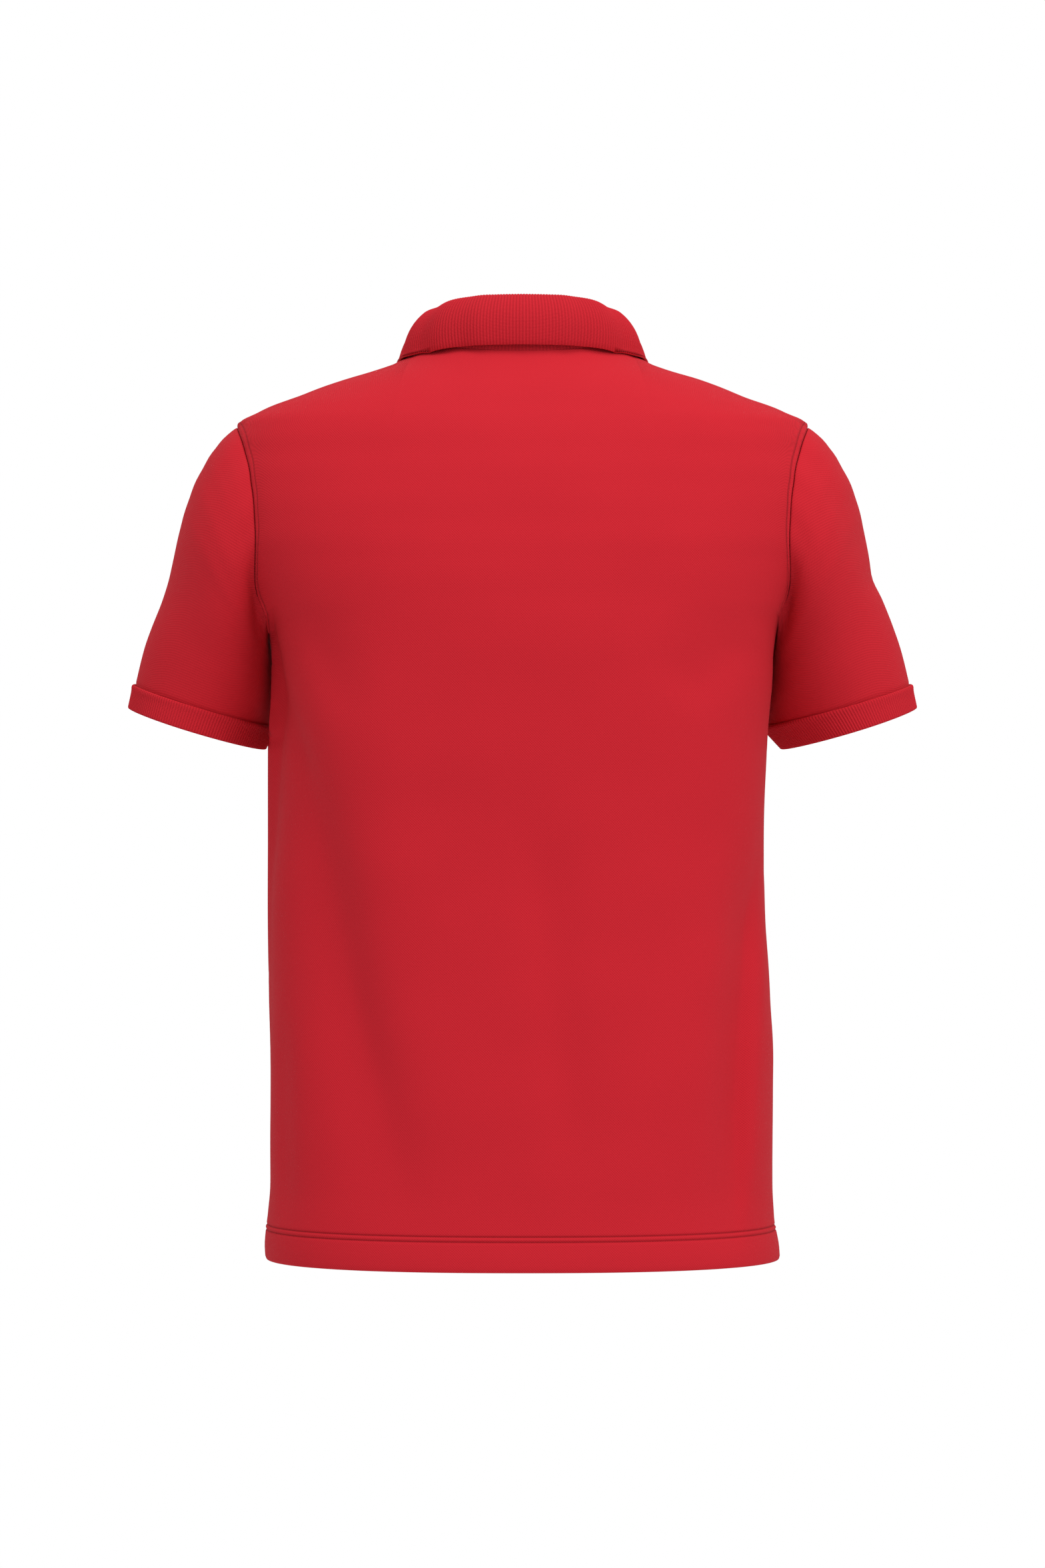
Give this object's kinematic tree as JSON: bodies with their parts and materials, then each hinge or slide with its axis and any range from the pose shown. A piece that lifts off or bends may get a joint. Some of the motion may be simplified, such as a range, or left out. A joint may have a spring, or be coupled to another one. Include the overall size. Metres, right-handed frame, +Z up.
{
  "type": "polo shirt",
  "caption": "Short-sleeved knit polo shirt, filled out and hollow, with a ribbed folded collar, ribbed cuffs and a plain front placket.",
  "frame": {"origin": "midway between the two places where the collar meets the shoulders, where the wearer's shoulders hold the shirt", "axes": "+Z up towards the collar, the front faces -Y, the wearer's left is +X"},
  "size_m": [0.628, 0.28, 0.7562],
  "materials": {
    "pique": "red cotton pique knit, matte",
    "rib_knit": "red ribbed knit, matte",
    "button": "red polyester button, satin"
  },
  "bodies": {
    "root": {"back": "pique", "front": "pique", "sleeve_left": "pique", "sleeve_right": "pique", "placket_top": "pique", "placket_under": "pique", "collar": "rib_knit", "cuff_left": "rib_knit", "cuff_right": "rib_knit", "button_1": "button", "button_2": "button", "button_3": "button"}
  },
  "joints": []
}
